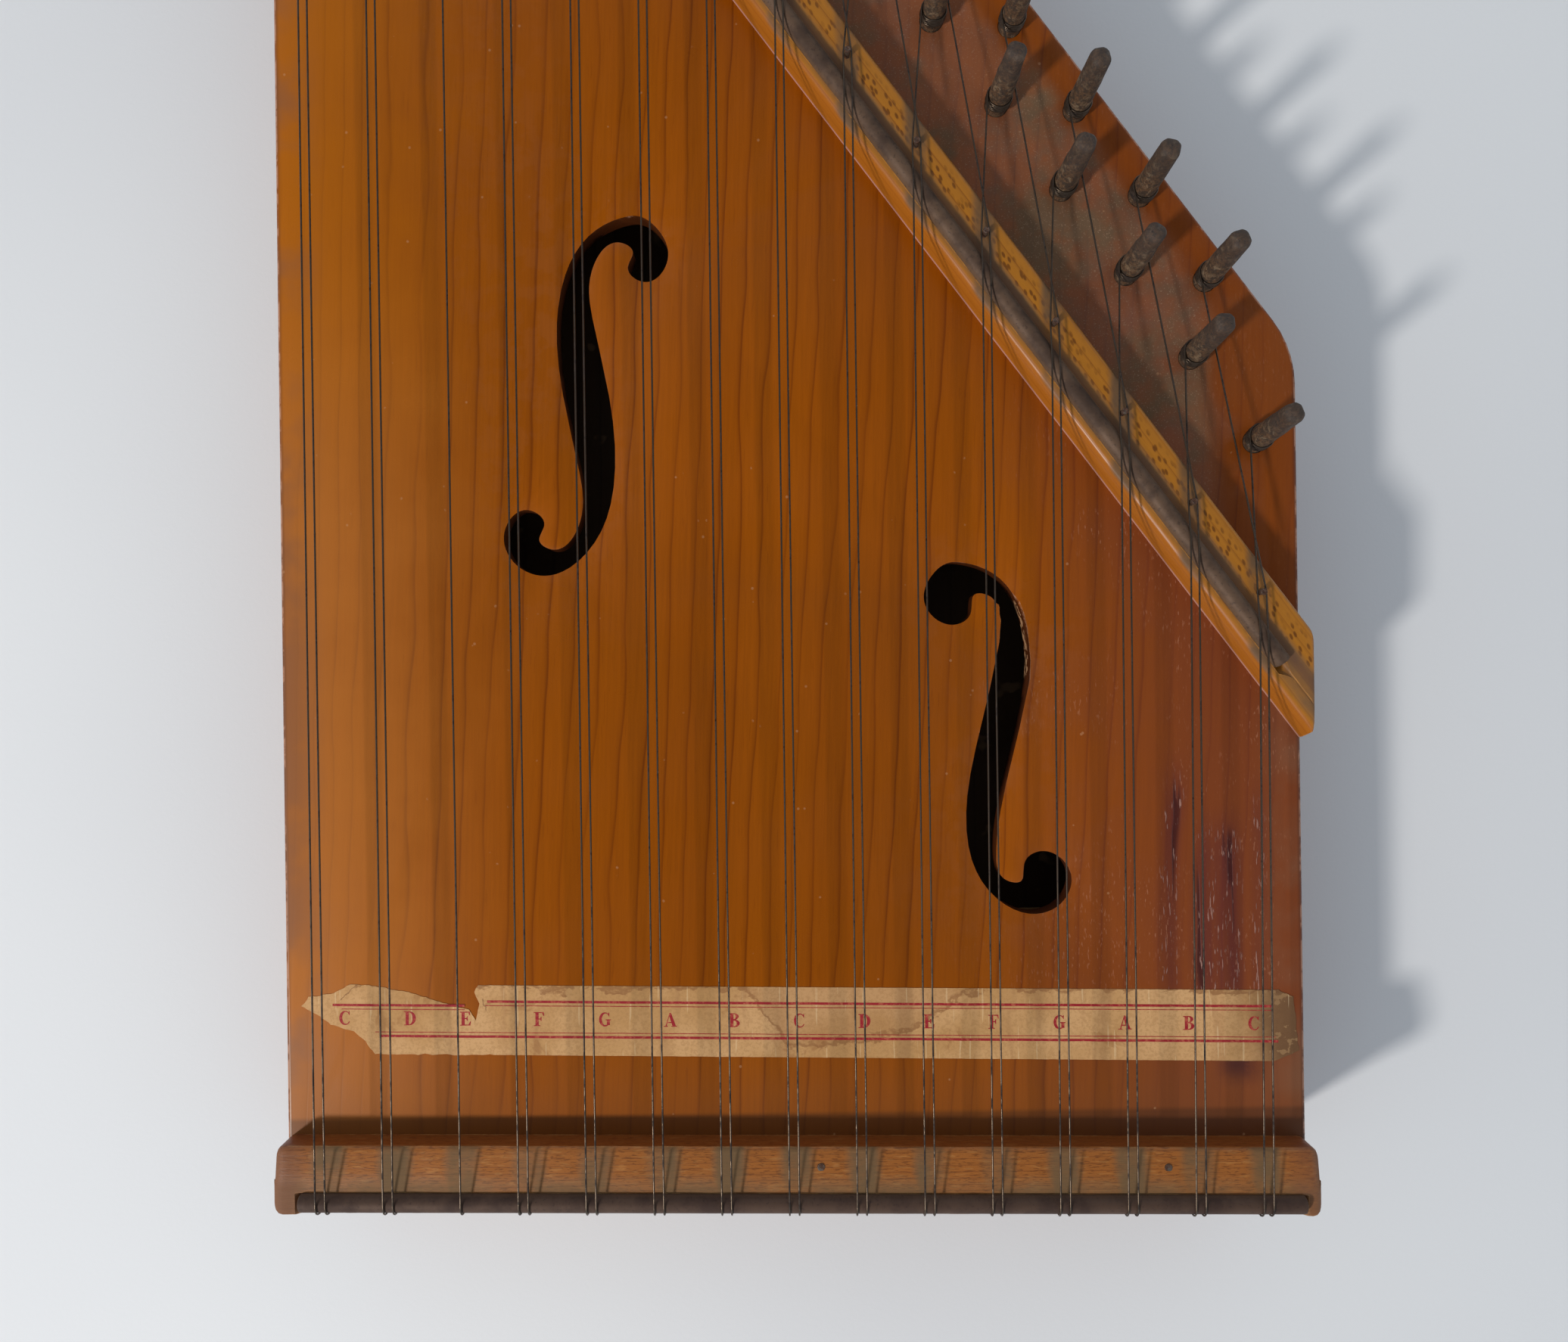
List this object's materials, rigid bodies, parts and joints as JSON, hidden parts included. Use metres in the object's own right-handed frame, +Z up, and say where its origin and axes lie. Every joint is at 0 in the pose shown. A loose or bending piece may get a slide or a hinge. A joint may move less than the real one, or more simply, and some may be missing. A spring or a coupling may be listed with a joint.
{
  "type": "chorded zither",
  "caption": "Flat wooden zither with a slanted pin end, two f-shaped sound holes and paired steel strings that run from a tail rod over a slanted bridge rod to turning pins.",
  "frame": {"origin": "bottom centre of the whole instrument's box, on the back plate's resting face", "axes": "+X to the right seen from above with the pins away, +Y from the tail to the pins along the sides, +Z up from the back plate to the soundboard"},
  "size_m": [0.227, 0.4822, 0.0515],
  "materials": {
    "soundboard_wood": "satin varnish, orange-brown softwood with upright grain",
    "back_wood": "plain, lightly varnished",
    "side_wood": "satin varnish, red-brown",
    "block_wood": "satin varnish on the outer face",
    "brace_wood": "bare spruce",
    "bridge_wood": "worn varnish, flecked hardwood",
    "rod_steel": "dull, dusty",
    "nail_steel": "dark, tarnished",
    "rail_wood": "worn varnish, dusty",
    "label_paper": "matt, yellowed, torn paper",
    "string_steel": "dark, tarnished",
    "pin_steel": "dark, rusty"
  },
  "bodies": {
    "body": {"soundboard": "soundboard_wood", "back_plate": "back_wood", "left_side": "side_wood", "right_side": "side_wood", "tail_block": "block_wood", "pin_block": "block_wood", "soundboard_braces": "brace_wood", "slanted_bridge": "bridge_wood", "bridge_rod": "rod_steel", "guide_nails": "nail_steel", "tail_rail": "rail_wood", "tail_rod": "rod_steel", "rail_brads": "nail_steel", "hitch_pins": "nail_steel", "scale_label": "label_paper", "strings_course_01": "string_steel", "strings_course_02": "string_steel", "strings_course_03": "string_steel", "strings_course_04": "string_steel", "strings_course_05": "string_steel", "strings_course_06": "string_steel", "strings_course_07": "string_steel", "strings_course_08": "string_steel", "strings_course_09": "string_steel", "strings_course_10": "string_steel", "strings_course_11": "string_steel", "strings_course_12": "string_steel", "strings_course_13": "string_steel", "strings_course_14": "string_steel", "strings_course_15": "string_steel"},
    "tuning_pin_01_inner": {"tuning_pin_01_inner": "pin_steel"},
    "tuning_pin_01_outer": {"tuning_pin_01_outer": "pin_steel"},
    "tuning_pin_02_inner": {"tuning_pin_02_inner": "pin_steel"},
    "tuning_pin_02_outer": {"tuning_pin_02_outer": "pin_steel"},
    "tuning_pin_03_inner": {"tuning_pin_03_inner": "pin_steel"},
    "tuning_pin_03_outer": {"tuning_pin_03_outer": "pin_steel"},
    "tuning_pin_04_inner": {"tuning_pin_04_inner": "pin_steel"},
    "tuning_pin_04_outer": {"tuning_pin_04_outer": "pin_steel"},
    "tuning_pin_05_inner": {"tuning_pin_05_inner": "pin_steel"},
    "tuning_pin_05_outer": {"tuning_pin_05_outer": "pin_steel"},
    "tuning_pin_06_inner": {"tuning_pin_06_inner": "pin_steel"},
    "tuning_pin_06_outer": {"tuning_pin_06_outer": "pin_steel"},
    "tuning_pin_07_inner": {"tuning_pin_07_inner": "pin_steel"},
    "tuning_pin_07_outer": {"tuning_pin_07_outer": "pin_steel"},
    "tuning_pin_08_inner": {"tuning_pin_08_inner": "pin_steel"},
    "tuning_pin_08_outer": {"tuning_pin_08_outer": "pin_steel"},
    "tuning_pin_09_inner": {"tuning_pin_09_inner": "pin_steel"},
    "tuning_pin_09_outer": {"tuning_pin_09_outer": "pin_steel"},
    "tuning_pin_10_inner": {"tuning_pin_10_inner": "pin_steel"},
    "tuning_pin_10_outer": {"tuning_pin_10_outer": "pin_steel"},
    "tuning_pin_11_inner": {"tuning_pin_11_inner": "pin_steel"},
    "tuning_pin_11_outer": {"tuning_pin_11_outer": "pin_steel"},
    "tuning_pin_12_inner": {"tuning_pin_12_inner": "pin_steel"},
    "tuning_pin_12_outer": {"tuning_pin_12_outer": "pin_steel"},
    "tuning_pin_13_inner": {"tuning_pin_13_inner": "pin_steel"},
    "tuning_pin_13_outer": {"tuning_pin_13_outer": "pin_steel"},
    "tuning_pin_14_inner": {"tuning_pin_14_inner": "pin_steel"},
    "tuning_pin_14_outer": {"tuning_pin_14_outer": "pin_steel"},
    "tuning_pin_15_inner": {"tuning_pin_15_inner": "pin_steel"},
    "tuning_pin_15_outer": {"tuning_pin_15_outer": "pin_steel"}
  },
  "joints": [
    {"name": "turn_pin_01_inner", "type": "hinge", "parent": "body", "child": "tuning_pin_01_inner", "pos_m": [-0.09721, 0.19805, 0.032], "axis": [0.0521, 0.129, 0.9903], "range_deg": [-300, 45]},
    {"name": "turn_pin_01_outer", "type": "hinge", "parent": "body", "child": "tuning_pin_01_outer", "pos_m": [-0.10611, 0.23185, 0.032], "axis": [0.0521, 0.129, 0.9903], "range_deg": [-300, 45]},
    {"name": "turn_pin_02_inner", "type": "hinge", "parent": "body", "child": "tuning_pin_02_inner", "pos_m": [-0.08253, 0.17841, 0.032], "axis": [0.0521, 0.129, 0.9903], "range_deg": [-300, 45]},
    {"name": "turn_pin_02_outer", "type": "hinge", "parent": "body", "child": "tuning_pin_02_outer", "pos_m": [-0.09186, 0.21278, 0.032], "axis": [0.0521, 0.129, 0.9903], "range_deg": [-300, 45]},
    {"name": "turn_pin_03_inner", "type": "hinge", "parent": "body", "child": "tuning_pin_03_inner", "pos_m": [-0.0679, 0.15883, 0.032], "axis": [0.0521, 0.129, 0.9903], "range_deg": [-300, 45]},
    {"name": "turn_pin_03_outer", "type": "hinge", "parent": "body", "child": "tuning_pin_03_outer", "pos_m": [-0.07762, 0.19372, 0.032], "axis": [0.0521, 0.129, 0.9903], "range_deg": [-300, 45]},
    {"name": "turn_pin_04_inner", "type": "hinge", "parent": "body", "child": "tuning_pin_04_inner", "pos_m": [-0.05332, 0.13932, 0.032], "axis": [0.0521, 0.129, 0.9903], "range_deg": [-300, 45]},
    {"name": "turn_pin_04_outer", "type": "hinge", "parent": "body", "child": "tuning_pin_04_outer", "pos_m": [-0.06337, 0.17465, 0.032], "axis": [0.0521, 0.129, 0.9903], "range_deg": [-300, 45]},
    {"name": "turn_pin_05_inner", "type": "hinge", "parent": "body", "child": "tuning_pin_05_inner", "pos_m": [-0.03878, 0.11987, 0.032], "axis": [0.0521, 0.129, 0.9903], "range_deg": [-300, 45]},
    {"name": "turn_pin_05_outer", "type": "hinge", "parent": "body", "child": "tuning_pin_05_outer", "pos_m": [-0.04912, 0.15559, 0.032], "axis": [0.0521, 0.129, 0.9903], "range_deg": [-300, 45]},
    {"name": "turn_pin_06_inner", "type": "hinge", "parent": "body", "child": "tuning_pin_06_inner", "pos_m": [-0.0243, 0.10049, 0.032], "axis": [0.0521, 0.129, 0.9903], "range_deg": [-300, 45]},
    {"name": "turn_pin_06_outer", "type": "hinge", "parent": "body", "child": "tuning_pin_06_outer", "pos_m": [-0.03487, 0.13652, 0.032], "axis": [0.0521, 0.129, 0.9903], "range_deg": [-300, 45]},
    {"name": "turn_pin_07_inner", "type": "hinge", "parent": "body", "child": "tuning_pin_07_inner", "pos_m": [-0.00986, 0.08116, 0.032], "axis": [0.0521, 0.129, 0.9903], "range_deg": [-300, 45]},
    {"name": "turn_pin_07_outer", "type": "hinge", "parent": "body", "child": "tuning_pin_07_outer", "pos_m": [-0.02063, 0.11746, 0.032], "axis": [0.0521, 0.129, 0.9903], "range_deg": [-300, 45]},
    {"name": "turn_pin_08_inner", "type": "hinge", "parent": "body", "child": "tuning_pin_08_inner", "pos_m": [0.00453, 0.06191, 0.032], "axis": [0.0521, 0.129, 0.9903], "range_deg": [-300, 45]},
    {"name": "turn_pin_08_outer", "type": "hinge", "parent": "body", "child": "tuning_pin_08_outer", "pos_m": [-0.00638, 0.09839, 0.032], "axis": [0.0521, 0.129, 0.9903], "range_deg": [-300, 45]},
    {"name": "turn_pin_09_inner", "type": "hinge", "parent": "body", "child": "tuning_pin_09_inner", "pos_m": [0.01887, 0.04271, 0.032], "axis": [0.0521, 0.129, 0.9903], "range_deg": [-300, 45]},
    {"name": "turn_pin_09_outer", "type": "hinge", "parent": "body", "child": "tuning_pin_09_outer", "pos_m": [0.00787, 0.07933, 0.032], "axis": [0.0521, 0.129, 0.9903], "range_deg": [-300, 45]},
    {"name": "turn_pin_10_inner", "type": "hinge", "parent": "body", "child": "tuning_pin_10_inner", "pos_m": [0.03317, 0.02358, 0.032], "axis": [0.0521, 0.129, 0.9903], "range_deg": [-300, 45]},
    {"name": "turn_pin_10_outer", "type": "hinge", "parent": "body", "child": "tuning_pin_10_outer", "pos_m": [0.02211, 0.06026, 0.032], "axis": [0.0521, 0.129, 0.9903], "range_deg": [-300, 45]},
    {"name": "turn_pin_11_inner", "type": "hinge", "parent": "body", "child": "tuning_pin_11_inner", "pos_m": [0.04742, 0.00452, 0.032], "axis": [0.0521, 0.129, 0.9903], "range_deg": [-300, 45]},
    {"name": "turn_pin_11_outer", "type": "hinge", "parent": "body", "child": "tuning_pin_11_outer", "pos_m": [0.03636, 0.0412, 0.032], "axis": [0.0521, 0.129, 0.9903], "range_deg": [-300, 45]},
    {"name": "turn_pin_12_inner", "type": "hinge", "parent": "body", "child": "tuning_pin_12_inner", "pos_m": [0.06161, -0.01448, 0.032], "axis": [0.0521, 0.129, 0.9903], "range_deg": [-300, 45]},
    {"name": "turn_pin_12_outer", "type": "hinge", "parent": "body", "child": "tuning_pin_12_outer", "pos_m": [0.05061, 0.02213, 0.032], "axis": [0.0521, 0.129, 0.9903], "range_deg": [-300, 45]},
    {"name": "turn_pin_13_inner", "type": "hinge", "parent": "body", "child": "tuning_pin_13_inner", "pos_m": [0.07576, -0.03342, 0.032], "axis": [0.0521, 0.129, 0.9903], "range_deg": [-300, 45]},
    {"name": "turn_pin_13_outer", "type": "hinge", "parent": "body", "child": "tuning_pin_13_outer", "pos_m": [0.06485, 0.00307, 0.032], "axis": [0.0521, 0.129, 0.9903], "range_deg": [-300, 45]},
    {"name": "turn_pin_14_inner", "type": "hinge", "parent": "body", "child": "tuning_pin_14_inner", "pos_m": [0.08987, -0.05229, 0.032], "axis": [0.0521, 0.129, 0.9903], "range_deg": [-300, 45]},
    {"name": "turn_pin_14_outer", "type": "hinge", "parent": "body", "child": "tuning_pin_14_outer", "pos_m": [0.0791, -0.01599, 0.032], "axis": [0.0521, 0.129, 0.9903], "range_deg": [-300, 45]},
    {"name": "turn_pin_15_inner", "type": "hinge", "parent": "body", "child": "tuning_pin_15_inner", "pos_m": [0.10392, -0.0711, 0.032], "axis": [0.0521, 0.129, 0.9903], "range_deg": [-300, 45]},
    {"name": "turn_pin_15_outer", "type": "hinge", "parent": "body", "child": "tuning_pin_15_outer", "pos_m": [0.09335, -0.03506, 0.032], "axis": [0.0521, 0.129, 0.9903], "range_deg": [-300, 45]}
  ]
}
